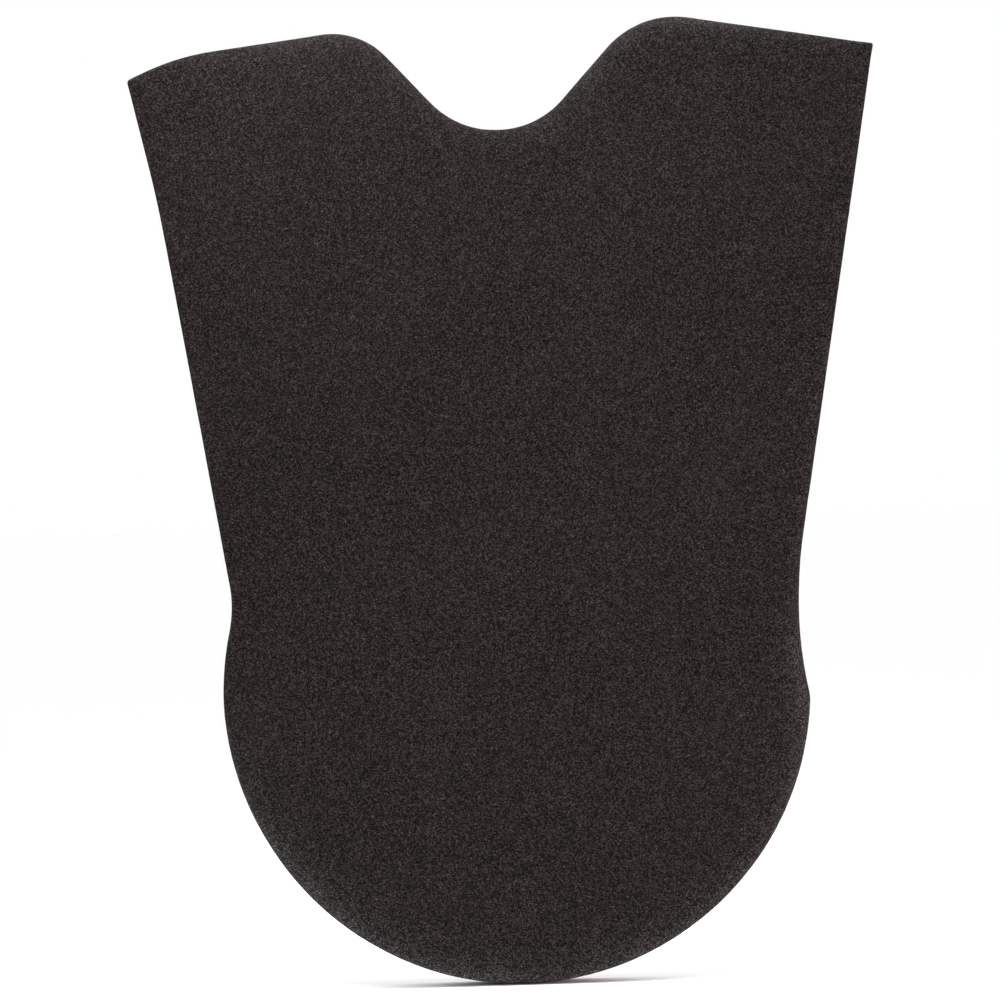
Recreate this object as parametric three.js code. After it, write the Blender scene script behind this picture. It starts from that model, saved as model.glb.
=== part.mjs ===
// Foam back protector pad, the kind that slides into the back pocket of a motorcycle jacket.
//
// Three foam plies are laminated with two thin bond films, and the stack is cut to one outline.
// The pad stands upright, as it is worn. +X is the wearer's right, +Z points up to the neck and
// the thickness lies along Y. The body-side face lies in the plane y = 0 and looks along +Y, and
// the outer face looks along -Y. The origin is the middle of the body-side face, halfway up.
//
// All lengths are millimetres and all angles are radians.

import * as THREE from 'three';

// Overall sizes of the pad.
const PAD_HEIGHT = 420;
const SHOULDER_WIDTH = 325;
const BOTTOM_RADIUS = 128;
const BOTTOM_CENTRE_X = -0.7;

// Neck cutout: a round notch between the two shoulder lobes, cut a little off the centre line.
const NECK_DEPTH = 47.5;
const NECK_RADIUS = 38.5;
const NECK_CENTRE_X = -2;

// Shoulder lobes, on each side of the neck cutout. The left one is cut lower and tighter.
const RIGHT_LOBE_X = 76;
const RIGHT_LOBE_RADIUS = 40;
const LEFT_LOBE_X = -74;
const LEFT_LOBE_RADIUS = 33;
const LEFT_LOBE_DROP = 3;

// Shoulder corners, measured down from the top of the right lobe.
const RIGHT_CORNER_DROP = 15;
const LEFT_CORNER_DROP = 21.8;

// The left top edge bends down towards its corner.
const LEFT_BEND_INBOARD = 21;
const LEFT_BEND_RISE = 10;
const LEFT_BEND_RADIUS = 110;

// The left side bows inwards from a straight cut, some way below the shoulder corner.
const LEFT_BOW_DEPTH = 2.5;
const LEFT_BOW_BELOW_CORNER = 54;
const LEFT_BOW_RADIUS = 600;

// Waist: how far each side is pinched in from the hip, and the round it is pinched with.
const LEFT_WAIST_PINCH = 4.8;
const LEFT_WAIST_RADIUS = 52;
const RIGHT_WAIST_PINCH = 4;
const RIGHT_WAIST_RADIUS = 190;

// The right hip is a small round of its own, just below the widest level of the bottom arc.
const RIGHT_HIP_RADIUS = 16;
const RIGHT_HIP_DROP = 7.5;

// Laminate, from the wearer outwards.
const COMFORT_FOAM_THICKNESS = 3;
const BOND_FILM_THICKNESS = 0.25;
const CORE_FOAM_THICKNESS = 4.5;
const OUTER_FOAM_THICKNESS = 6;

// The outer foam's rim is rounded over, and leaves a narrow upright edge above the bond line.
const RIM_WIDTH = 6;
const RIM_UPRIGHT_EDGE = 1;
const RIM_STEPS = 6;

// The bond films stop short of the cut edge by this much.
const BOND_FILM_SETBACK = 0.5;

// Largest distance between a drawn round and its chords.
const CHORD_TOLERANCE = 0.03;

// A blend uses up at most this share of the shorter line beside its corner.
const LARGEST_BLEND_SHARE = 0.9;

const CHARCOAL = new THREE.Color().setRGB(0.183, 0.165, 0.16, THREE.SRGBColorSpace);
const DEEP_CHARCOAL = new THREE.Color().setRGB(0.15, 0.145, 0.145, THREE.SRGBColorSpace);
const SOFT_CHARCOAL = new THREE.Color().setRGB(0.21, 0.2, 0.2, THREE.SRGBColorSpace);
const SMOKED_FILM = new THREE.Color().setRGB(0.3, 0.29, 0.27, THREE.SRGBColorSpace);

// Turning left keeps the foam inside the round, and turning right keeps it outside.
const LEFT_TURN = 1;
const RIGHT_TURN = -1;

function round(x, z, radius, turn) {
  return { centre: new THREE.Vector2(x, z), radius, turn };
}

function corner(x, z, blend = 0) {
  return { centre: new THREE.Vector2(x, z), radius: 0, turn: LEFT_TURN, blend };
}

// A waist round that runs straight into the hip round, with no line between them.
function waistRound(hip, side, pinch, radius) {
  const reach = hip.radius + radius;
  const sideways = reach - pinch;
  const rise = Math.sqrt(reach * reach - sideways * sideways);
  return round(hip.centre.x + side * sideways, hip.centre.y + rise, radius, RIGHT_TURN);
}

// The right hip's small round lies inside the bottom arc and touches it.
function rightHipRound(bottom) {
  const reach = bottom.radius - RIGHT_HIP_RADIUS;
  const sideways = Math.sqrt(reach * reach - RIGHT_HIP_DROP * RIGHT_HIP_DROP);
  const height = bottom.centre.y - RIGHT_HIP_DROP;
  return round(bottom.centre.x + sideways, height, RIGHT_HIP_RADIUS, LEFT_TURN);
}

// The left side bends here, on the inner side of a straight cut from the corner to the waist.
function bowCorner(shoulderCorner, waist) {
  const { heading, start } = tangentLine(shoulderCorner, waist);
  const along = new THREE.Vector2(Math.cos(heading), Math.sin(heading));
  const inward = new THREE.Vector2(-along.y, along.x);
  const place = start.clone();
  place.addScaledVector(along, LEFT_BOW_BELOW_CORNER);
  place.addScaledVector(inward, LEFT_BOW_DEPTH);
  return corner(place.x, place.y, LEFT_BOW_RADIUS);
}

// The rounds and corners of the outline, counter-clockwise as seen from the outside.
function outlineStops() {
  const top = PAD_HEIGHT / 2;
  const halfShoulders = SHOULDER_WIDTH / 2;
  const leftLobeTop = top - LEFT_LOBE_DROP;
  const bottom = round(BOTTOM_CENTRE_X, BOTTOM_RADIUS - top, BOTTOM_RADIUS, LEFT_TURN);
  const rightHip = rightHipRound(bottom);
  const leftCorner = corner(-halfShoulders, top - LEFT_CORNER_DROP);
  const leftWaist = waistRound(bottom, -1, LEFT_WAIST_PINCH, LEFT_WAIST_RADIUS);
  return [
    bottom,
    rightHip,
    waistRound(rightHip, 1, RIGHT_WAIST_PINCH, RIGHT_WAIST_RADIUS),
    corner(halfShoulders, top - RIGHT_CORNER_DROP),
    round(RIGHT_LOBE_X, top - RIGHT_LOBE_RADIUS, RIGHT_LOBE_RADIUS, LEFT_TURN),
    round(NECK_CENTRE_X, top - NECK_DEPTH + NECK_RADIUS, NECK_RADIUS, RIGHT_TURN),
    round(LEFT_LOBE_X, leftLobeTop - LEFT_LOBE_RADIUS, LEFT_LOBE_RADIUS, LEFT_TURN),
    corner(
      -halfShoulders + LEFT_BEND_INBOARD,
      leftCorner.centre.y + LEFT_BEND_RISE,
      LEFT_BEND_RADIUS,
    ),
    leftCorner,
    bowCorner(leftCorner, leftWaist),
    leftWaist,
  ];
}

// The straight line that leaves one round and meets the next one, touching both.
function tangentLine(from, to) {
  const along = to.centre.clone().sub(from.centre);
  const offset = from.turn * from.radius - to.turn * to.radius;
  const sine = THREE.MathUtils.clamp(offset / along.length(), -1, 1);
  const heading = along.angle() + Math.asin(sine);
  const right = new THREE.Vector2(Math.sin(heading), -Math.cos(heading));
  return {
    heading,
    start: from.centre.clone().addScaledVector(right, from.turn * from.radius),
    end: to.centre.clone().addScaledVector(right, to.turn * to.radius),
  };
}

function lineLength(line) {
  return line.start.distanceTo(line.end);
}

// Points of a round from one heading to the next, both ends included.
function arcPoints(centre, radius, turn, headingIn, headingOut) {
  const sweep = THREE.MathUtils.euclideanModulo(turn * (headingOut - headingIn), 2 * Math.PI);
  const largestStep = 2 * Math.acos(1 - CHORD_TOLERANCE / radius);
  const steps = Math.max(1, Math.ceil(sweep / largestStep));
  const points = [];
  for (let step = 0; step <= steps; step += 1) {
    const heading = headingIn + (turn * sweep * step) / steps;
    const side = new THREE.Vector2(Math.sin(heading), -Math.cos(heading));
    points.push(centre.clone().addScaledVector(side, turn * radius));
  }
  return points;
}

// A corner is one point, or a blend round that touches the lines on both sides of it.
function cornerPoints(stop, lineIn, lineOut) {
  if (!stop.blend) {
    return [stop.centre.clone()];
  }
  const change = lineOut.heading - lineIn.heading;
  const bend = Math.atan2(Math.sin(change), Math.cos(change));
  const turn = Math.sign(bend);
  const shorterLine = Math.min(lineLength(lineIn), lineLength(lineOut));
  const roomForRadius = (LARGEST_BLEND_SHARE * shorterLine) / Math.tan(Math.abs(bend) / 2);
  const radius = Math.min(stop.blend, roomForRadius);
  const middle = lineIn.heading + bend / 2;
  const inward = new THREE.Vector2(-Math.sin(middle), Math.cos(middle)).multiplyScalar(turn);
  const centre = stop.centre.clone().addScaledVector(inward, radius / Math.cos(bend / 2));
  return arcPoints(centre, radius, turn, lineIn.heading, lineOut.heading);
}

function outlinePoints() {
  const stops = outlineStops();
  const lines = stops.map((stop, index) => tangentLine(stop, stops[(index + 1) % stops.length]));
  const points = stops.flatMap((stop, index) => {
    const lineIn = lines.at(index - 1);
    const lineOut = lines[index];
    if (stop.radius > 0) {
      return arcPoints(stop.centre, stop.radius, stop.turn, lineIn.heading, lineOut.heading);
    }
    return cornerPoints(stop, lineIn, lineOut);
  });
  const apart = (a, b) => a.distanceTo(b) > CHORD_TOLERANCE;
  return points.filter((point, index) => apart(point, points[(index + 1) % points.length]));
}

// The outline moved inwards, each point along the line that halves its angle.
function insetOutline(outline, distance) {
  return outline.map((point, index) => {
    const before = outline[(index + outline.length - 1) % outline.length];
    const after = outline[(index + 1) % outline.length];
    const edgeIn = point.clone().sub(before).normalize();
    const edgeOut = after.clone().sub(point).normalize();
    const inward = new THREE.Vector2(-edgeIn.y - edgeOut.y, edgeIn.x + edgeOut.x).normalize();
    const cosine = inward.dot(new THREE.Vector2(-edgeIn.y, edgeIn.x));
    return point.clone().addScaledVector(inward, distance / cosine);
  });
}

// A closed sheet through a stack of sections, from the body side (highest y) outwards.
function sheetSolid(outline, sections) {
  const positions = [];
  const triangles = [];
  const count = outline.length;
  const rings = sections.map((section) => insetOutline(outline, section.inset));
  rings.forEach((ring, level) => {
    ring.forEach((point) => positions.push(point.x, sections[level].y, point.y));
  });
  for (let level = 0; level < rings.length - 1; level += 1) {
    for (let index = 0; index < count; index += 1) {
      const next = (index + 1) % count;
      const inner = level * count;
      const outer = inner + count;
      triangles.push(inner + index, outer + next, outer + index);
      triangles.push(inner + index, inner + next, outer + next);
    }
  }
  const lastRing = (rings.length - 1) * count;
  THREE.ShapeUtils.triangulateShape(rings[0], []).forEach(([a, b, c]) => triangles.push(a, c, b));
  THREE.ShapeUtils.triangulateShape(rings.at(-1), []).forEach(([a, b, c]) => {
    triangles.push(lastRing + a, lastRing + b, lastRing + c);
  });
  const geometry = new THREE.BufferGeometry();
  geometry.setAttribute('position', new THREE.Float32BufferAttribute(positions, 3));
  geometry.setIndex(triangles);
  geometry.computeVertexNormals();
  return geometry;
}

// Sections of a rounded rim, from the upright edge to the outer face.
function roundedRim(yEdge, yFace) {
  const depth = yEdge - yFace;
  const sections = [];
  for (let step = 0; step <= RIM_STEPS; step += 1) {
    const angle = (step / RIM_STEPS) * (Math.PI / 2);
    const y = step === RIM_STEPS ? yFace : yEdge - depth * Math.sin(angle);
    sections.push({ y, inset: RIM_WIDTH * (1 - Math.cos(angle)) });
  }
  return sections;
}

function ply(name, geometry, color, roughness) {
  const material = new THREE.MeshStandardMaterial({ color, roughness, metalness: 0 });
  const mesh = new THREE.Mesh(geometry, material);
  mesh.name = name;
  return mesh;
}

function plainSheet(outline, yBodySide, yOuterSide, inset) {
  return sheetSolid(outline, [
    { y: yBodySide, inset },
    { y: yOuterSide, inset },
  ]);
}

const outline = outlinePoints();

// Each interface between plies is one number, used by the sheets on both sides of it.
const bodyFace = 0;
const comfortToInnerFilm = bodyFace - COMFORT_FOAM_THICKNESS;
const innerFilmToCore = comfortToInnerFilm - BOND_FILM_THICKNESS;
const coreToOuterFilm = innerFilmToCore - CORE_FOAM_THICKNESS;
const outerFilmToOuterFoam = coreToOuterFilm - BOND_FILM_THICKNESS;
const outerFace = outerFilmToOuterFoam - OUTER_FOAM_THICKNESS;

const comfortFoam = plainSheet(outline, bodyFace, comfortToInnerFilm, 0);
const innerBondFilm = plainSheet(outline, comfortToInnerFilm, innerFilmToCore, BOND_FILM_SETBACK);
const coreFoam = plainSheet(outline, innerFilmToCore, coreToOuterFilm, 0);
const outerBondFilm = plainSheet(outline, coreToOuterFilm, outerFilmToOuterFoam, BOND_FILM_SETBACK);
const outerFoam = sheetSolid(outline, [
  { y: outerFilmToOuterFoam, inset: 0 },
  ...roundedRim(outerFilmToOuterFoam - RIM_UPRIGHT_EDGE, outerFace),
]);

const group = new THREE.Group();
group.add(
  ply('comfort_foam', comfortFoam, SOFT_CHARCOAL, 0.95),
  ply('inner_bond_film', innerBondFilm, SMOKED_FILM, 0.5),
  ply('core_foam', coreFoam, DEEP_CHARCOAL, 0.9),
  ply('outer_bond_film', outerBondFilm, SMOKED_FILM, 0.5),
  ply('outer_foam', outerFoam, CHARCOAL, 0.92),
);

export default group;
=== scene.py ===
# %% [markdown]
# # A laminated foam back pad
# The pad slides into the back pocket of a motorcycle jacket and lies flat along the rider's spine.
# It is three plies of foam bonded with two thin films and cut to one outline. The cut leaves a soft,
# rounded rim on the outer ply and plain, slightly hollow edges on the plies behind it.
# The CAD model fixes the outline, the plies and their places. Everything below only adds what the
# eye sees: the rim's softness, the foam's cells, its wear, and a studio to look at it in.

import math

import bpy
import numpy as np
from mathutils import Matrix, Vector, noise
from mathutils.geometry import delaunay_2d_cdt
from mathutils.kdtree import KDTree


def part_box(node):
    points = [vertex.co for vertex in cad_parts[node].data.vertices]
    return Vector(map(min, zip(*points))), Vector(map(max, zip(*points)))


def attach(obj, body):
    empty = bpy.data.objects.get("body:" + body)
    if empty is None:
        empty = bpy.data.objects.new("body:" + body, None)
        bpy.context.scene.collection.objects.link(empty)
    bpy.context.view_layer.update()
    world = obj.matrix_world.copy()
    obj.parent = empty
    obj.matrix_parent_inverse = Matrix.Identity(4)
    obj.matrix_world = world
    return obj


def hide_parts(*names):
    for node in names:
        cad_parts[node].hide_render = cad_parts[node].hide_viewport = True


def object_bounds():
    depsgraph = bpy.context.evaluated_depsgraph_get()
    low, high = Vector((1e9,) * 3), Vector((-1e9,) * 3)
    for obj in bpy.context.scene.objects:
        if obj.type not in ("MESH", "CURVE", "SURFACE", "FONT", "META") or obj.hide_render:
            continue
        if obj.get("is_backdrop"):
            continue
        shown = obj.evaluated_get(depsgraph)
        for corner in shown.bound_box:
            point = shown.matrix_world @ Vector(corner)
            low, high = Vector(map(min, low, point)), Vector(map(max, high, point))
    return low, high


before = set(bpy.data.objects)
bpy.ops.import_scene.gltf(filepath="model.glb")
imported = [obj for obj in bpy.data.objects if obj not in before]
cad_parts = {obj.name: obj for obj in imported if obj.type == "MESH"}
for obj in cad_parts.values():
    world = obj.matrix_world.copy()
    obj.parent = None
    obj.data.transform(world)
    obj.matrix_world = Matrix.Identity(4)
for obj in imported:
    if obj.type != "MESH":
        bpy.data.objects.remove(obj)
cad_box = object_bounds()
MM = 0.001
print("pad in mm:", [round(side / MM, 1) for side in cad_box[1] - cad_box[0]])

# %% [markdown]
# ## The cut outline
# All plies share one outline, because the stack is cut in one stroke. It could be drawn again here,
# but then two drawings would have to agree. Reading the edge of the core ply's solid keeps one
# drawing only. Its points come in no order, and since the pad is star-shaped about its middle they
# can be sorted by their direction from there. They are then spaced evenly, and eased a little,
# because no cutter leaves a perfectly sharp corner in foam.

# %% Read, sort and even out the outline
OUTLINE_STEP = 1.1 * MM
CORNER_EASING_PASSES = 1
CORNER_TURNING_PASSES = 60


def sorted_edge(node):
    """The outline of a flat CAD node as (x, z) points, counter-clockwise from below."""
    flat = {(round(v.co.x, 7), round(v.co.z, 7)) for v in node.data.vertices}
    points = np.array(sorted(flat))
    direction = np.arctan2(points[:, 1], points[:, 0])
    return points[np.argsort(direction)]


def evenly_spaced(points, step):
    """The closed line through the points, cut into equal steps."""
    closed = np.vstack([points, points[:1]])
    lengths = np.hypot(*np.diff(closed, axis=0).T)
    travelled = np.concatenate([[0], np.cumsum(lengths)])
    count = round(travelled[-1] / step)
    places = np.linspace(0, travelled[-1], count, endpoint=False)
    return np.column_stack([np.interp(places, travelled, closed[:, k]) for k in (0, 1)])


def eased(points, passes):
    """Each point drawn towards the middle of its neighbours."""
    for _ in range(passes):
        neighbours = (np.roll(points, 1, axis=0) + np.roll(points, -1, axis=0)) / 2
        points = (points + neighbours) / 2
    return points


def inward_directions(points):
    """Unit directions at right angles to the line through the points, towards its inside."""
    ahead = np.roll(points, -1, axis=0) - np.roll(points, 1, axis=0)
    directions = np.column_stack([-ahead[:, 1], ahead[:, 0]])
    return directions / np.hypot(*directions.T)[:, None]


drawn_edge = sorted_edge(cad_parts["core_foam"])
outline = eased(evenly_spaced(drawn_edge, OUTLINE_STEP), CORNER_EASING_PASSES)
inward = inward_directions(eased(outline, CORNER_TURNING_PASSES))
print(len(drawn_edge), "drawn points,", len(outline), "even points")

# %% [markdown]
# ## The rim's softness
# Where the cutter runs round a curve the foam is squeezed sideways and springs back into a wide,
# soft rim. Along the straight sides it is cut almost square. One bevel of one width can't show
# that, so the rim gets a width of its own at each place round the pad: a few named stations, with a
# smooth change between them, and a taper into the two sharp shoulder corners.

# %% Stations round the rim
# Each station: direction from the middle in degrees, width in mm, depth in mm, painted rim highlight.
RIM_STATIONS = {
    "right hip": (-32, 9.5, 5.2, 0.8),
    "right waist": (-18, 6.0, 2.5, 0.3),
    "right side": (15, 3.0, 1.5, 0.25),
    "right shoulder": (47, 3.0, 1.4, 0.15),
    "right top edge": (56, 6.5, 2.4, 0.0),
    "right lobe": (68, 9.5, 5.2, 0.2),
    "neck": (91, 9.0, 2.2, 0.0),
    "left lobe": (112, 9.5, 4.4, 0.0),
    "left top edge": (122, 8.0, 2.2, 0.0),
    "left shoulder": (130, 3.0, 0.9, 0.0),
    "left side": (170, 2.2, 1.0, 0.0),
    "left waist": (199, 2.2, 1.0, 0.0),
    "left hip": (214, 2.5, 1.0, 0.0),
    "lower left": (232, 9.5, 5.0, 0.8),
    "bottom": (268, 9.5, 3.2, 1.0),
    "lower right": (305, 7.5, 3.2, 0.4),
}
print(len(RIM_STATIONS), "stations round the rim")

# %% Width of the rim at every outline point
CORNER_RIM_WIDTH = 0.8 * MM
CORNER_TAPER = 0.45
RIM_SMOOTHING_PASSES = 4


def from_stations(points, column):
    """One column of the stations, by each point's direction from the pad's middle."""
    stations = sorted((station[0] % 360, station[column]) for station in RIM_STATIONS.values())
    angles, values = np.array(stations).T
    here = np.degrees(np.arctan2(points[:, 1], points[:, 0])) % 360
    return np.interp(here, angles, values, period=360)


def smoothed(values, passes):
    """A closed row of values, each drawn towards its neighbours."""
    for _ in range(passes):
        values = (np.roll(values, 1) + values + np.roll(values, -1)) / 3
    return values


def distance_to_corners(points):
    """How far each point is from the nearer of the two shoulder corners."""
    shoulders = [points[points[:, 0].argmin()], points[points[:, 0].argmax()]]
    return np.min([np.hypot(*(points - corner).T) for corner in shoulders], axis=0)


corner_limit = CORNER_RIM_WIDTH + CORNER_TAPER * distance_to_corners(outline)
rim_width = np.minimum(from_stations(outline, 1) * MM, corner_limit)
rim_depth = np.minimum(from_stations(outline, 2) * MM, corner_limit)
rim_width = smoothed(rim_width, RIM_SMOOTHING_PASSES)
rim_depth = smoothed(rim_depth, RIM_SMOOTHING_PASSES)
# Painted highlight: how far the rim's colour is lifted towards a pale grey at each outline point.
rim_highlight = smoothed(from_stations(outline, 3), RIM_SMOOTHING_PASSES)
print("rim width in mm:", round(rim_width.min() / MM, 1), "to", round(rim_width.max() / MM, 1))

# %% [markdown]
# ## The foam's own unevenness
# Slab foam is never a true plane. It swells and sinks by a few tenths of a millimetre over the
# width of a hand, and its skin is lumpy at the scale of a fingertip. A Displace modifier would need
# a texture for each scale. Adding up Perlin noise in code does the same, gives the same result on
# every run, and can be held at zero on the faces that are bonded.

# %% Swell, lumps and pits as one height
# Each scale: height, and how many times it repeats per metre.
SWELL = (0.22 * MM, 9)
LUMPS = (0.07 * MM, 75)
PITS = (0.035 * MM, 260)


def unevenness(place, seed):
    """Height of the foam's skin at a place, as the sum of three scales of noise."""
    shifted = place + Vector((seed, 3 * seed, 7 * seed))
    return sum(height * noise.noise(shifted * per_metre) for height, per_metre in (SWELL, LUMPS, PITS))


print("unevenness at the middle in mm:", round(unevenness(Vector((0.01, 0, 0)), 1.0) / MM, 3))

# %% [markdown]
# ## Marks of use
# A pad that has been in and out of a pocket carries a few marks: a short pressed crease and two
# nicks near one shoulder, and a small rubbed spot low down. A sculpting brush could press them in,
# but a brush stroke isn't repeatable. A mark here is a line with a width and a depth, and the skin
# sinks with the distance from that line.

# %% Pressed marks in the outer face
# Each mark: one end (x, z) in mm, the other end, width in mm, depth in mm (negative stands proud).
MARKS = {
    "crease": ((-136.0, 170.5), (-126.5, 170.1), 0.9, 0.45),
    "upper nick": ((-132.5, 177.0), (-129.5, 179.4), 0.6, 0.3),
    "lower nick": ((-135.5, 176.2), (-133.0, 176.0), 0.6, 0.25),
    "rubbed spot": ((-28.4, -158.2), (-27.2, -158.6), 1.0, -0.18),
}


def distance_to_line(points, start, end):
    """How far each (x, z) point is from a straight line between two points."""
    start, end = np.array(start) * MM, np.array(end) * MM
    along = end - start
    share = np.clip((points - start) @ along / (along @ along), 0, 1)
    return np.hypot(*(points - start - share[:, None] * along).T)


def mark_depth(points):
    """How far the skin has sunk at each (x, z) point."""
    depth = np.zeros(len(points))
    for start, end, width, deep in MARKS.values():
        away = distance_to_line(points, start, end) / (width * MM)
        depth += deep * MM * np.exp(-(away**2))
    return depth


print("marks:", ", ".join(MARKS))

# %% [markdown]
# ## A ply
# A ply is a stack of closed rows that follow the outline, from its body side to its outer side,
# with a skin across each end. The rows could be skinned by an extrusion and a Bevel modifier, but a
# bevel has one width. Here each row has its own depth and its own distance in from the outline at
# every point. The skin that shows is filled with evenly spread points by a Delaunay triangulation,
# so that the lumps are drawn alike everywhere. A skin that is bonded needs no points of its own.

# %% Skin across a closed row
EDGE_CLEARANCE_SHARE = 0.7
INSIDE_ONLY = 1
WELD_DISTANCE = 1e-9


def is_inside(points, edge):
    """Which points lie inside the closed, star-shaped edge."""
    edge_angle = np.arctan2(edge[:, 1], edge[:, 0])
    order = np.argsort(edge_angle)
    reach = np.interp(
        np.arctan2(points[:, 1], points[:, 0]),
        edge_angle[order],
        np.hypot(*edge[order].T),
        period=2 * math.pi,
    )
    return np.hypot(*points.T) < reach


def spread_points(edge, spacing):
    """Points in staggered lines inside the edge, none of them close to it."""
    low, high = edge.min(axis=0), edge.max(axis=0)
    across, up = np.meshgrid(
        np.arange(low[0], high[0], spacing),
        np.arange(low[1], high[1], spacing * math.sqrt(3) / 2),
    )
    across[1::2] += spacing / 2
    points = np.column_stack([across.ravel(), up.ravel()])
    points = points[is_inside(points, edge)]
    tree = KDTree(len(edge))
    for index, (x, z) in enumerate(edge):
        tree.insert((x, z, 0), index)
    tree.balance()
    clearance = EDGE_CLEARANCE_SHARE * spacing
    far = [tree.find((x, z, 0))[2] > clearance for x, z in points]
    return points[far]


def skin(edge, spacing):
    """Extra points inside a closed row, and the triangles that span it."""
    extra = spread_points(edge, spacing) if spacing else np.empty((0, 2))
    points = [Vector(p) for p in np.vstack([edge, extra])]
    loop = [(i, (i + 1) % len(edge)) for i in range(len(edge))]
    result = delaunay_2d_cdt(points, loop, [], INSIDE_ONLY, WELD_DISTANCE)
    source = [origins[0] for origins in result[3]]
    return extra, [[source[i] for i in face] for face in result[2]]


print("a skin keeps", EDGE_CLEARANCE_SHARE, "of its spacing clear of the edge")

# %% A ply from its rows
def ply_mesh(name, rows, body_spacing=None, outer_spacing=None):
    """A closed mesh through rows of (inset, y), the first on the body side."""
    full = np.ones(len(outline))
    rows = [(inset * full, y * full) for inset, y in rows]
    edges = [outline + inward * inset[:, None] for inset, _ in rows]
    verts = [np.column_stack([e[:, 0], y, e[:, 1]]) for e, (_, y) in zip(edges, rows)]
    count = len(outline)
    faces = []
    for level in range(len(rows) - 1):
        start = level * count
        for i in range(count):
            j = (i + 1) % count
            faces.append((start + i, start + j, start + count + j, start + count + i))
    ends = ((0, body_spacing, True), (len(rows) - 1, outer_spacing, False))
    for level, spacing, outwards in ends:
        extra, triangles = skin(edges[level], spacing)
        first_extra = sum(len(v) for v in verts)
        depth = np.full(len(extra), rows[level][1].mean())
        verts.append(np.column_stack([extra[:, 0], depth, extra[:, 1]]))
        for triangle in triangles:
            corners = [level * count + i if i < count else first_extra + i - count for i in triangle]
            faces.append(corners[::-1] if outwards else corners)
    mesh = bpy.data.meshes.new(name)
    mesh.from_pydata(np.vstack(verts).tolist(), [], faces)
    mesh.validate()
    return mesh


print("each row of a ply has", len(outline), "points")

# %% A ply as an object
SAME_DEPTH = 1e-6
SHARP_ANGLE = math.radians(50)


def ply(name, rows, bonded, seed, **spacings):
    """A ply as an object, with its showing sides made uneven and its bonded sides kept flat."""
    mesh = ply_mesh(name, rows, **spacings)
    for vertex, normal in [(v, v.normal.copy()) for v in mesh.vertices]:
        if not any(abs(vertex.co.y - y) < SAME_DEPTH for y in bonded):
            vertex.co += normal * unevenness(vertex.co, seed)
    mesh.shade_smooth()
    mesh.set_sharp_from_angle(angle=SHARP_ANGLE)
    obj = bpy.data.objects.new(name, mesh)
    bpy.context.scene.collection.objects.link(obj)
    print(name, len(mesh.vertices), "vertices,", len(mesh.polygons), "faces")
    return obj


print("edges sharper than", round(math.degrees(SHARP_ANGLE)), "degrees stay crisp")

# %% [markdown]
# ## The hollow of the cut
# A cutting die squeezes the stack while it cuts. When the foam springs back, the edge is hollow in
# the middle of its thickness. That hollow runs across all three plies as one curve, so it is a
# function of the depth and every row of every ply takes its inset from it.

# %% Edge profile through the whole thickness
EDGE_HOLLOW = 0.35 * MM
body_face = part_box("comfort_foam")[1].y
outer_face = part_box("outer_foam")[0].y
thickness = body_face - outer_face


def edge_inset(y):
    """How far the cut edge lies inside the outline at this depth."""
    return EDGE_HOLLOW * np.sin(math.pi * (body_face - y) / thickness)


print("thickness in mm:", round(thickness / MM, 2))

# %% [markdown]
# ## The outer ply
# This is the firm ply that takes the first blow, and the one that shows. Straight rows climb its cut
# edge, and a quarter turn of rows carries them over the rim into the face. Taking the turn's width
# and depth from the stations lets one rim be broad at the lobes and nearly square along the sides.

# %% Outer ply
OUTER_SPACING = 1.5 * MM
RIM_ROWS = 11
WALL_ROWS = 5


def outer_ply_rows():
    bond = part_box("outer_foam")[1].y
    shoulder = outer_face + rim_depth
    rows = []
    for share in np.linspace(0, 1, WALL_ROWS):
        y = bond + (shoulder - bond) * share
        rows.append((edge_inset(y), y))
    for turn in np.linspace(0, math.pi / 2, RIM_ROWS)[1:]:
        y = shoulder - rim_depth * math.sin(turn)
        rows.append((edge_inset(shoulder) + rim_width * (1 - math.cos(turn)), y))
    return rows


outer_ply = ply(
    "outer_ply",
    outer_ply_rows(),
    bonded=[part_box("outer_foam")[1].y],
    seed=1.0,
    outer_spacing=OUTER_SPACING,
)

# %% [markdown]
# ## The soft shoulder
# Pressed foam doesn't stop at its rim. The face begins to fall a little way inside it, and that
# slope is what catches a wide, soft light. It is pressed into the finished skin here, fading with
# the distance from the cut, and the marks go in with it. The same distance sets how far a painted
# highlight reaches in from the rim, and it is kept on each point for the paint to read later.

# %% Soft shoulder and marks on the outer ply
SHOULDER_DROP_SHARE = 0.14
SHOULDER_LENGTH = 8.0 * MM
HIGHLIGHT_REACH = 7.0 * MM


def settle_outer_skin(obj):
    """Let the skin fall away gently towards the rim, and press the marks into it."""
    tree = KDTree(len(outline))
    for index, (x, z) in enumerate(outline):
        tree.insert((x, 0, z), index)
    tree.balance()
    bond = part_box("outer_foam")[1].y
    flat = np.array([(v.co.x, v.co.z) for v in obj.data.vertices])
    marks = mark_depth(flat)
    # Painted highlight: a paler rim colour, strongest at the lit stations, fading inward from the cut.
    painted_highlight = obj.data.attributes.new("painted_highlight", "FLOAT", "POINT")
    for vertex, mark in zip(obj.data.vertices, marks):
        _, index, away = tree.find((vertex.co.x, 0, vertex.co.z))
        drop = SHOULDER_DROP_SHARE * rim_width[index] * math.exp(-away / SHOULDER_LENGTH)
        height = (bond - vertex.co.y) / (bond - outer_face)
        vertex.co.y += (drop + mark) * min(max(height, 0.0), 1.0)
        painted_highlight.data[vertex.index].value = rim_highlight[index] * math.exp(-away / HIGHLIGHT_REACH)


settle_outer_skin(outer_ply)
print("outer face fades back to flat over", round(SHOULDER_LENGTH / MM, 1), "mm")

# %% [markdown]
# ## The two plies behind
# The core takes the energy of a blow and is bonded on both sides, so only its cut edge shows. The
# comfort ply lies against the back. Its free face has a small soft rim, since it is pressed against
# the cutting board and not rounded by the die.

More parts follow.
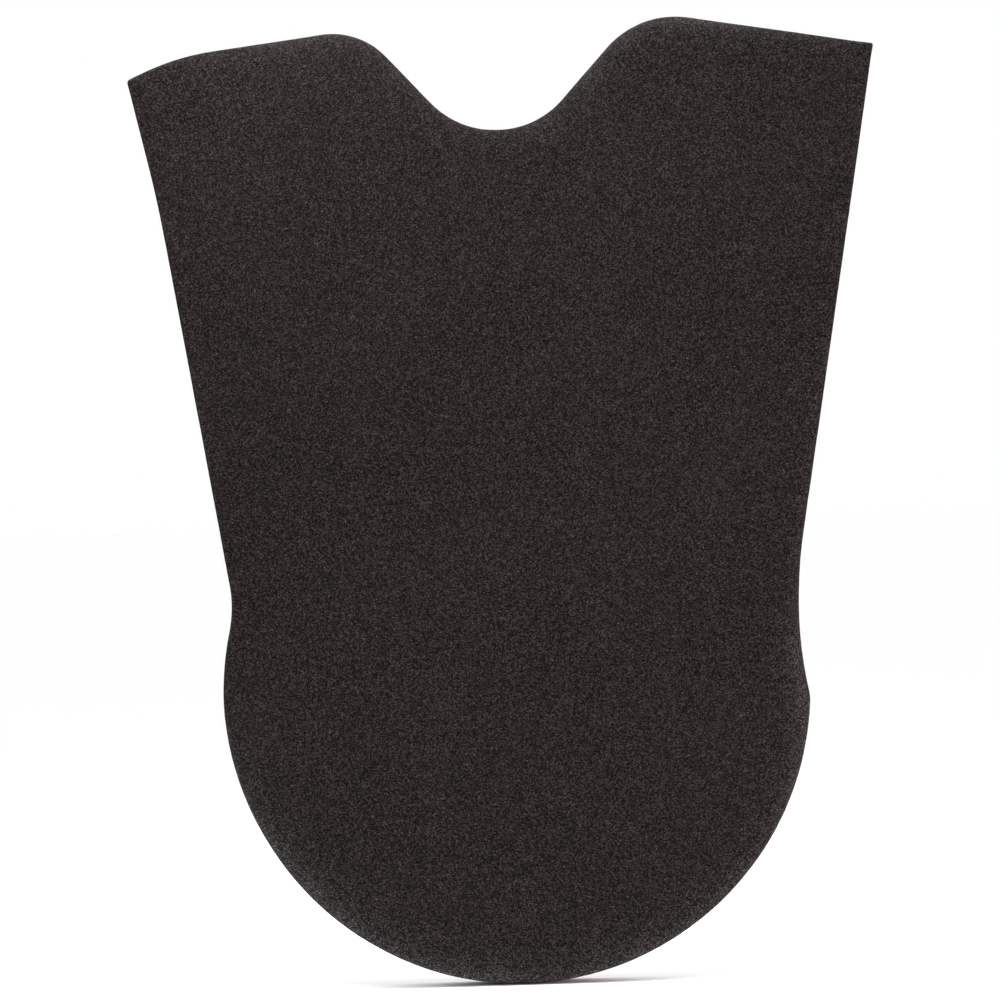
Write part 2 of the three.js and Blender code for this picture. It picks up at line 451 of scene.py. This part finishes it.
# %% Core ply
def core_ply_rows():
    low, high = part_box("core_foam")
    return [(edge_inset(y), y) for y in np.linspace(high.y, low.y, WALL_ROWS)]


core_ply = ply(
    "core_ply",
    core_ply_rows(),
    bonded=[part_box("core_foam")[0].y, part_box("core_foam")[1].y],
    seed=2.0,
)

# %% Comfort ply
COMFORT_RIM = 1.4 * MM
COMFORT_RIM_ROWS = 6
COMFORT_WALL_ROWS = 4
COMFORT_SPACING = 1.8 * MM


def comfort_ply_rows():
    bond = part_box("comfort_foam")[0].y
    rows = []
    for turn in np.linspace(math.pi / 2, 0, COMFORT_RIM_ROWS):
        y = body_face - COMFORT_RIM * (1 - math.sin(turn))
        inset = edge_inset(body_face - COMFORT_RIM) + COMFORT_RIM * (1 - math.cos(turn))
        rows.append((inset, y))
    for y in np.linspace(body_face - COMFORT_RIM, bond, COMFORT_WALL_ROWS)[1:]:
        rows.append((edge_inset(y), y))
    return rows


comfort_ply = ply(
    "comfort_ply",
    comfort_ply_rows(),
    bonded=[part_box("comfort_foam")[0].y],
    seed=3.0,
    body_spacing=COMFORT_SPACING,
)

# %% [markdown]
# ## Foam, as a maker would describe it
# Black slab foam is a mass of small cells. Some are open pits, and the shade inside them is painted
# as a darker colour; the walls between them stand up and catch the light, a few cells are painted pale
# as glints, and no two cells are quite the same grey. Over a hand's width the grey drifts a little.
# Each of these could be painted, but paint has one resolution. As node groups they stay sharp at any
# distance, and all three plies can share them with a cell size of their own.

# %% Helpers for shader nodes
def new_group(name, inputs, outputs):
    """An empty shader node group with named sockets, and its two end nodes."""
    tree = bpy.data.node_groups.new(name, "ShaderNodeTree")
    for label, kind, value in inputs:
        socket = tree.interface.new_socket(label, in_out="INPUT", socket_type="NodeSocket" + kind)
        if value is not None:
            socket.default_value = value
    for label, kind in outputs:
        tree.interface.new_socket(label, in_out="OUTPUT", socket_type="NodeSocket" + kind)
    return tree, tree.nodes.new("NodeGroupInput").outputs, tree.nodes.new("NodeGroupOutput").inputs


def add(tree, kind, inputs, **settings):
    """A node with its settings made, and its inputs set to values or wired to sockets."""
    node = tree.nodes.new("ShaderNode" + kind)
    for name, value in settings.items():
        setattr(node, name, value)
    for name, value in inputs.items():
        if isinstance(value, bpy.types.NodeSocket):
            tree.links.new(value, node.inputs[name])
        else:
            node.inputs[name].default_value = value
    return node


def calc(tree, operation, first, second=0.0, clamp=False):
    """One arithmetic step, as the socket that carries its answer."""
    return add(tree, "Math", {0: first, 1: second}, operation=operation, use_clamp=clamp).outputs[0]


def remap(tree, value, low, high, to_low=0.0, to_high=1.0):
    """A value moved from one range to another, held inside the new range."""
    ends = {"From Min": low, "From Max": high, "To Min": to_low, "To Max": to_high}
    return add(tree, "MapRange", {"Value": value, **ends}).outputs["Result"]


print("shader helpers: new_group, add, calc, remap")

# %% Node group for the cells
COARSE_SHARE = 0.75
FINER_BY = 2.3
OPEN_CELLS = (0.8, 0.86)
GLINT_CELLS = (0.965, 0.985)
PIT_REACH = (0.15, 0.5)
WALL_THICKNESS = 0.12
PIT_DROP = 1.4
SMALL_BUMP = 0.5


def make_cells_group():
    tree, given, result = new_group(
        "foam cells",
        [("Place", "Vector", None), ("Cell Size", "Float", 0.8 * MM)],
        [("Grey", "Float"), ("Pit", "Float"), ("Glint", "Float"), ("Height", "Float")],
    )
    per_metre = calc(tree, "DIVIDE", 1.0, given["Cell Size"])
    finer = calc(tree, "MULTIPLY", per_metre, FINER_BY)
    big = add(tree, "TexVoronoi", {"Vector": given["Place"], "Scale": per_metre})
    small = add(tree, "TexVoronoi", {"Vector": given["Place"], "Scale": finer})
    walls = add(
        tree, "TexVoronoi", {"Vector": given["Place"], "Scale": per_metre}, feature="DISTANCE_TO_EDGE"
    )
    big_tone = add(tree, "SeparateColor", {"Color": big.outputs["Color"]}).outputs
    small_tone = add(tree, "SeparateColor", {"Color": small.outputs["Color"]}).outputs
    coarse = calc(tree, "MULTIPLY", big_tone["Red"], COARSE_SHARE)
    fine = calc(tree, "MULTIPLY", small_tone["Red"], 1 - COARSE_SHARE)
    tree.links.new(calc(tree, "ADD", coarse, fine), result["Grey"])
    open_cell = remap(tree, big_tone["Green"], *OPEN_CELLS)
    hollow = remap(tree, big.outputs["Distance"], *PIT_REACH, 1.0, 0.0)
    pit = calc(tree, "MULTIPLY", open_cell, hollow)
    tree.links.new(pit, result["Pit"])
    # Painted glints: a few random cells are marked to be lifted pale.
    glint_cell = remap(tree, big_tone["Blue"], *GLINT_CELLS)
    tree.links.new(glint_cell, result["Glint"])
    wall = remap(tree, walls.outputs["Distance"], 0.0, WALL_THICKNESS, 1.0, 0.0)
    raised = calc(tree, "SUBTRACT", wall, calc(tree, "MULTIPLY", pit, PIT_DROP))
    bumps = calc(tree, "MULTIPLY", small_tone["Blue"], SMALL_BUMP)
    tree.links.new(calc(tree, "ADD", raised, bumps), result["Height"])
    return tree


cells_group = make_cells_group()
print("cells group:", len(cells_group.nodes), "nodes")

# %% Node group for the slow drift of tone
def make_drift_group():
    tree, given, result = new_group(
        "slow drift", [("Place", "Vector", None), ("Patch Size", "Float", 60 * MM)], [("Drift", "Float")]
    )
    per_metre = calc(tree, "DIVIDE", 1.0, given["Patch Size"])
    cloud = add(
        tree,
        "TexNoise",
        {"Vector": given["Place"], "Scale": per_metre, "Detail": 4.0, "Roughness": 0.55},
    )
    tree.links.new(remap(tree, cloud.outputs["Fac"], 0.3, 0.7, -1.0, 1.0), result["Drift"])
    return tree


drift_group = make_drift_group()
print("drift group:", len(drift_group.nodes), "nodes")

# %% Node group for the painted rim highlight
def make_highlight_group():
    tree, given, result = new_group(
        "painted rim highlight",
        [("Place", "Vector", None), ("Highlight", "Float", 0.0), ("Amount", "Float", 0.5)],
        [("Mask", "Float")],
    )
    patches = add(tree, "TexNoise", {"Vector": given["Place"], "Scale": 90.0, "Detail": 3.0})
    patchy = remap(tree, patches.outputs["Fac"], 0.35, 0.65, 0.7, 1.1)
    strength = calc(tree, "MULTIPLY", given["Highlight"], given["Amount"])
    tree.links.new(calc(tree, "MULTIPLY", strength, patchy), result["Mask"])
    return tree


highlight_group = make_highlight_group()
print("rub group:", len(highlight_group.nodes), "nodes")

# %% [markdown]
# ## One recipe for three foams
# The rim's colour is drawn towards a pale grey by the highlight kept on each point: a painted
# highlight, strongest at the right hip, the lower left and the bottom, standing in for light that
# catches the rim there. The cells then set how far each spot lies between the dark and that colour;
# open pits are pushed towards the dark as painted shade, and a few cells are lifted pale as painted
# glints. Raising the cell's grey to a power keeps most of the foam dark and lets a few cells stand
# out. The three plies share this recipe and differ in colours, cell size, contrast, bump and highlight.

# %% A foam material
PIT_PAINTED_SHADE = 0.5
DRIFT_STRENGTH = 0.02
GLINT_STRENGTH = 0.7
SKIN_ROUGHNESS = 0.6
PIT_ROUGHNESS = 1.0
SHINE = 0.04
FUZZ = 0.04
FUZZ_ROUGHNESS = 0.4


def foam(name, dark, light, highlight_colour, cell_size, contrast, bump_height, highlight_amount):
    material = bpy.data.materials.new(name)
    material.use_nodes = True
    tree = material.node_tree
    shader = tree.nodes["Principled BSDF"]
    place = add(tree, "TexCoord", {}).outputs["Object"]
    cells = add(tree, "Group", {}, node_tree=cells_group)
    tree.links.new(place, cells.inputs["Place"])
    cells.inputs["Cell Size"].default_value = cell_size
    drift = add(tree, "Group", {}, node_tree=drift_group)
    tree.links.new(place, drift.inputs["Place"])
    painted_highlight = add(tree, "Group", {}, node_tree=highlight_group)
    tree.links.new(place, painted_highlight.inputs["Place"])
    tree.links.new(add(tree, "Attribute", {}, attribute_name="painted_highlight").outputs["Fac"], painted_highlight.inputs["Highlight"])
    painted_highlight.inputs["Amount"].default_value = highlight_amount
    tone = calc(tree, "POWER", cells.outputs["Grey"], contrast)
    # Painted shade: the open pits are darkened in the colour.
    tone = calc(tree, "SUBTRACT", tone, calc(tree, "MULTIPLY", cells.outputs["Pit"], PIT_PAINTED_SHADE))
    tone = calc(tree, "ADD", tone, calc(tree, "MULTIPLY", drift.outputs["Drift"], DRIFT_STRENGTH))
    tone = calc(tree, "MAXIMUM", tone, 0.0)
    # Painted glints: a few random cells are lifted pale in the colour.
    tone = calc(tree, "ADD", tone, calc(tree, "MULTIPLY", cells.outputs["Glint"], GLINT_STRENGTH))
    # Painted highlight: the rim's colour is drawn towards a pale grey by the highlight kept on each
    # point.
    ends = {"Factor": painted_highlight.outputs["Mask"], "A": (*light, 1), "B": (*highlight_colour, 1)}
    top = add(tree, "Mix", ends, data_type="RGBA", clamp_factor=False)
    ends = {"Factor": tone, "A": (*dark, 1), "B": top.outputs["Result"]}
    blend = add(tree, "Mix", ends, data_type="RGBA", clamp_factor=False)
    tree.links.new(blend.outputs["Result"], shader.inputs["Base Color"])
    bump = add(tree, "Bump", {"Height": cells.outputs["Height"], "Distance": bump_height})
    tree.links.new(bump.outputs["Normal"], shader.inputs["Normal"])
    rough = remap(tree, cells.outputs["Pit"], 0.0, 1.0, SKIN_ROUGHNESS, PIT_ROUGHNESS)
    tree.links.new(rough, shader.inputs["Roughness"])
    shader.inputs["Specular IOR Level"].default_value = SHINE
    shader.inputs["Sheen Weight"].default_value = FUZZ
    shader.inputs["Sheen Roughness"].default_value = FUZZ_ROUGHNESS
    return material


print("a foam's skin has roughness", SKIN_ROUGHNESS, "and its pits", PIT_ROUGHNESS)

# %% The three foams
skin_foam = foam(
    name="charcoal skin foam",
    dark=(0.0006, 0.0005, 0.0005),
    light=(0.086, 0.0638, 0.0565),
    highlight_colour=(0.240, 0.214, 0.209),
    cell_size=0.46 * MM,
    contrast=2.8,
    bump_height=0.16 * MM,
    highlight_amount=1.0,
)
cut_foam = foam(
    name="charcoal cut foam",
    dark=(0.0006, 0.0005, 0.0005),
    light=(0.07, 0.057, 0.053),
    highlight_colour=(0.12, 0.108, 0.102),
    cell_size=1.0 * MM,
    contrast=1.9,
    bump_height=0.3 * MM,
    highlight_amount=0.0,
)
soft_foam = foam(
    name="charcoal soft foam",
    dark=(0.0006, 0.0005, 0.0005),
    light=(0.062, 0.05, 0.0465),
    highlight_colour=(0.12, 0.108, 0.102),
    cell_size=0.55 * MM,
    contrast=2.0,
    bump_height=0.15 * MM,
    highlight_amount=0.4,
)
outer_ply.data.materials.append(skin_foam)
core_ply.data.materials.append(cut_foam)
comfort_ply.data.materials.append(soft_foam)
print("foams:", skin_foam.name, "/", cut_foam.name, "/", soft_foam.name)

# %% [markdown]
# ## The bonding film
# Hot-melt film melts into the cells on both sides and sets as a thin, slightly glossy line between
# the plies. Only its edge is ever seen, so a cloudy grey is enough, and the flat CAD sheets keep
# their own shape.

# %% Bond film
FILM_GREY = (0.02, 0.05)
FILM_ROUGHNESS = (0.3, 0.5)


def film_material():
    material = bpy.data.materials.new("bond film")
    material.use_nodes = True
    tree = material.node_tree
    shader = tree.nodes["Principled BSDF"]
    place = add(tree, "TexCoord", {}).outputs["Object"]
    cloud = add(tree, "TexNoise", {"Vector": place, "Scale": 900.0, "Detail": 3.0})
    grey = remap(tree, cloud.outputs["Fac"], 0.3, 0.7, *FILM_GREY)
    tree.links.new(grey, shader.inputs["Base Color"])
    rough = remap(tree, cloud.outputs["Fac"], 0.3, 0.7, *FILM_ROUGHNESS)
    tree.links.new(rough, shader.inputs["Roughness"])
    return material


film = film_material()
for node in ("inner_bond_film", "outer_bond_film"):
    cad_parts[node].data.materials.clear()
    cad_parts[node].data.materials.append(film)
print("film on both sides of the core")

# %% [markdown]
# ## Joining the frame
# The laminate is glued into one body, so every ply rides the same root. Each stands in for the
# plain solid of the same name.

# %% Ride and replace
PLIES = {"outer_foam": outer_ply, "core_foam": core_ply, "comfort_foam": comfort_ply}
for node, piece in PLIES.items():
    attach(piece, "root")
    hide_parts(node)
print("plies on the frame:", ", ".join(PLIES))

# %% [markdown]
# ## A plain floor
# The pad stands on its lower end on a pale floor. A curved paper sweep would hide the horizon, but a
# very wide flat floor does the same with one face and throws the same soft light back up.

# %% Floor
FLOOR_SIZE = 40.0
FLOOR_PAINT = (0.96, 0.96, 0.96, 1)
floor_mesh = bpy.data.meshes.new("floor")
half = FLOOR_SIZE / 2
floor_z = cad_box[0].z
floor_corners = [(x * half, y * half, floor_z) for x, y in ((-1, -1), (1, -1), (1, 1), (-1, 1))]
floor_mesh.from_pydata(floor_corners, [], [(0, 1, 2, 3)])
floor = bpy.data.objects.new("floor", floor_mesh)
bpy.context.scene.collection.objects.link(floor)
white = bpy.data.materials.new("floor paint")
white.use_nodes = True
paint = white.node_tree.nodes["Principled BSDF"].inputs
paint["Base Color"].default_value = FLOOR_PAINT
paint["Roughness"].default_value = 0.9
floor.data.materials.append(white)
floor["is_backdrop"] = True
print("floor at z =", round(floor_z, 3), "m")

# %% [markdown]
# ## Studio light
# Dark foam shows its shape only where its rim catches light. A bright, even backdrop and overhead
# give the pad a clean edge, and small lamps pick out the rim: one close above the left shoulder, a
# long one along the top, and two warm ones low on the right. A single large lamp would be simpler,
# but it lights face and rim alike and the softness goes.

# %% Surrounding light
BACKDROP_LEVEL = 1.0
FRONT_LEVEL = 0.35
OVERHEAD_LEVEL = 2.0


def make_world():
    """White behind the pad, dimmer in front of it, brightest overhead."""
    world = bpy.data.worlds.new("studio")
    world.use_nodes = True
    tree = world.node_tree
    direction = add(tree, "SeparateXYZ", {"Vector": add(tree, "TexCoord", {}).outputs["Generated"]})
    level = remap(tree, direction.outputs["Y"], -0.2, 0.9, FRONT_LEVEL, BACKDROP_LEVEL)
    high = remap(tree, direction.outputs["Z"], 0.3, 0.6)
    overhead = calc(tree, "MULTIPLY", high, remap(tree, direction.outputs["Y"], -0.05, 0.15))
    extra = calc(tree, "MULTIPLY", overhead, calc(tree, "SUBTRACT", OVERHEAD_LEVEL, level))
    tree.links.new(calc(tree, "ADD", level, extra), tree.nodes["Background"].inputs["Strength"])
    tree.nodes["Background"].inputs["Color"].default_value = (1, 1, 1, 1)
    bpy.context.scene.world = world


make_world()
print("backdrop", BACKDROP_LEVEL, "front", FRONT_LEVEL, "overhead", OVERHEAD_LEVEL)

# %% Lamps
# Each lamp: place, the point it aims at, size in m, spread in degrees, power in W, colour.
LAMPS = {
    "key": ((-0.15, -0.20, 0.37), (0, 0, 0.1), (0.15, 0.1), 180, 1.15, (0.96, 0.94, 1.0)),
    "top": ((0.0, -0.11, 1.2), (0, -0.11, 0), (0.9, 0.2), 60, 4.6, (0.88, 0.98, 1.0)),
    "right": ((0.70, -0.12, -0.09), (0, 0, -0.09), (0.25, 0.15), 180, 1.4, (1.0, 0.6, 0.6)),
    "far right": ((2.0, -0.35, -0.02), (0, 0, 0), (0.8, 0.3), 180, 6, (1.0, 0.55, 0.45)),
}


def softbox(name, place, aim, size, spread, power, color):
    data = bpy.data.lights.new(name, "AREA")
    data.shape = "RECTANGLE"
    data.size, data.size_y = size
    data.spread = math.radians(spread)
    data.energy = power
    data.color = color
    lamp = bpy.data.objects.new(name, data)
    bpy.context.scene.collection.objects.link(lamp)
    lamp.location = place
    lamp.rotation_euler = (Vector(aim) - Vector(place)).to_track_quat("-Z", "Y").to_euler()
    lamp.visible_camera = False


for name, (place, aim, size, spread, power, color) in LAMPS.items():
    softbox(name, place, aim, size, spread, power, color)
print("lamps:", ", ".join(LAMPS))

# %% [markdown]
# ## The camera
# The camera looks straight at the outer face through a long lens, which keeps the sides from
# converging. It stands as far off as makes the chosen width fill the frame, and it is rolled a
# little, because the pad doesn't stand perfectly upright.

# %% Camera
LENS = 85
SENSOR = 36
PICTURE_WIDTH = 436.3 * MM
AIM = Vector((-5.9 * MM, outer_face + 5 * MM, 1.2 * MM))
ROLL = math.radians(1.75)
camera_data = bpy.data.cameras.new("camera")
camera_data.lens = LENS
camera_data.sensor_width = SENSOR
camera = bpy.data.objects.new("camera", camera_data)
bpy.context.scene.collection.objects.link(camera)
distance = PICTURE_WIDTH * LENS / SENSOR
camera.location = AIM - Vector((0, distance, 0))
camera.rotation_euler = (math.pi / 2, ROLL, 0)
bpy.context.scene.camera = camera
bpy.context.scene.view_settings.view_transform = "Standard"
print("camera", round(distance, 2), "m from the pad")

# %% [markdown]
# ## The two sizes
# The soft pieces must fill the same space as the solids they stand in for, so both boxes are
# gathered side by side.

# %% Sizes
size = {"cad": [list(c) for c in cad_box], "visual": [list(c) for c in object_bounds()]}
